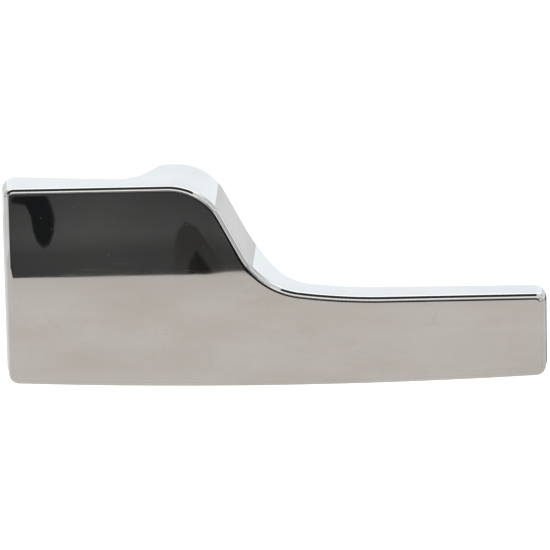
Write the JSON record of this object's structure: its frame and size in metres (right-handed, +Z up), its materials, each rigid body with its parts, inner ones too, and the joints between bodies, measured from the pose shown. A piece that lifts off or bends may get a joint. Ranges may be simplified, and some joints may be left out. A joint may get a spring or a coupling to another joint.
{
  "type": "cistern flush lever handle",
  "caption": "Chromed cast lever handle, wide flat grip with an S-curve down to a slim arm, on a sprung spindle in a threaded wall sleeve.",
  "frame": {"origin": "spindle axis at the outer face of the cistern wall, which is the rear face of the front gasket", "axes": "+X to the tip of the arm, +Y along the spindle into the cistern, +Z up"},
  "size_m": [0.0995, 0.0692, 0.0405],
  "materials": {
    "chromed_casting": "mirror-polished chrome plate over a zinc die casting, faint hairline scratches and wipe marks",
    "brass": "turned brass with fine tool rings",
    "zinc_plated_steel": "bright zinc plate",
    "dark_steel": "oiled black oxide",
    "spring_steel": "drawn stainless wire",
    "nylon": "natural moulded nylon",
    "rubber": "moulded black rubber"
  },
  "bodies": {
    "fitting": {"mounting_sleeve": "brass", "front_gasket": "rubber", "front_bush": "nylon", "rear_bush": "nylon", "stop_pin": "zinc_plated_steel", "thrust_washer": "nylon", "return_spring": "spring_steel"},
    "lever": {"handle": "chromed_casting", "spindle": "brass", "set_screw": "dark_steel", "spring_collar": "zinc_plated_steel", "e_clip": "dark_steel"},
    "clamp": {"rear_seal_washer": "rubber", "clamp_washer": "zinc_plated_steel"},
    "nut": {"lock_nut": "brass"}
  },
  "joints": [
    {"name": "lever_turn", "type": "hinge", "parent": "fitting", "child": "lever", "pos_m": [0, 0, 0], "axis": [0, 1, 0], "range_deg": [0, 30], "stiffness_Nm_per_rad": 0.29, "springref_deg": -20.05, "deforming": ["return_spring"]},
    {"name": "clamp_draw", "type": "slide", "parent": "fitting", "child": "clamp", "axis": [0, 1, 0], "range_m": [0, 0.0301]},
    {"name": "nut_turn", "type": "hinge", "parent": "clamp", "child": "nut", "pos_m": [0, 0.012, 0], "axis": [0, 1, 0], "range_deg": [-7200, 0]}
  ],
  "couplings": [
    {"joint": "clamp_draw", "follows": "nut_turn", "m_per_rad": -0.00023873}
  ]
}
